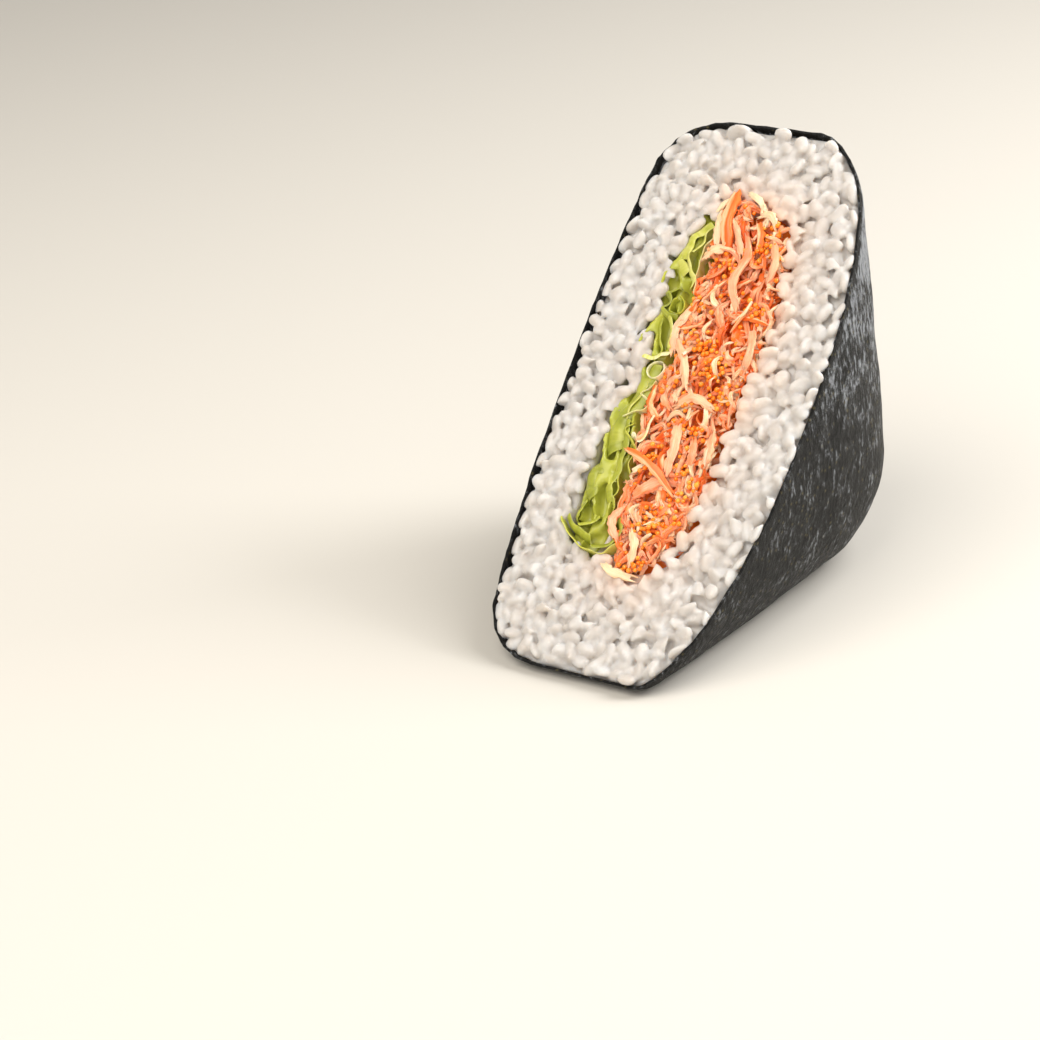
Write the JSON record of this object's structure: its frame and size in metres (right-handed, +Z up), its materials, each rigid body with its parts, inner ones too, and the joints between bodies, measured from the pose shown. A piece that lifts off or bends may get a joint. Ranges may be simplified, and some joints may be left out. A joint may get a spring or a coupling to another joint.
{
  "type": "cut rice block sandwich in nori with crab stick salad",
  "caption": "Half of a square rice block wrapped in nori, cut corner to corner to show crab stick salad and lettuce inside, resting on one outer side.",
  "frame": {"origin": "middle of the footprint of the model's box, on the surface that the block rests on", "axes": "+X through the thickness of the block, +Z up, the cut face looks towards -Y and up"},
  "size_m": [0.0558, 0.0858, 0.0832],
  "materials": {
    "nori": "roasted seaweed sheet, near black with an olive tint, finely crinkled and slightly glossy",
    "rice": "steamed short grain rice, white and translucent, moist",
    "kani": "shredded crab stick, cream to orange, coated in a moist spicy dressing with small roe",
    "lettuce": "fresh lettuce leaves, yellow green with pale ribs, moist"
  },
  "bodies": {
    "root": {"nori": "nori", "rice": "rice", "kani_salad": "kani", "lettuce": "lettuce"}
  },
  "joints": []
}
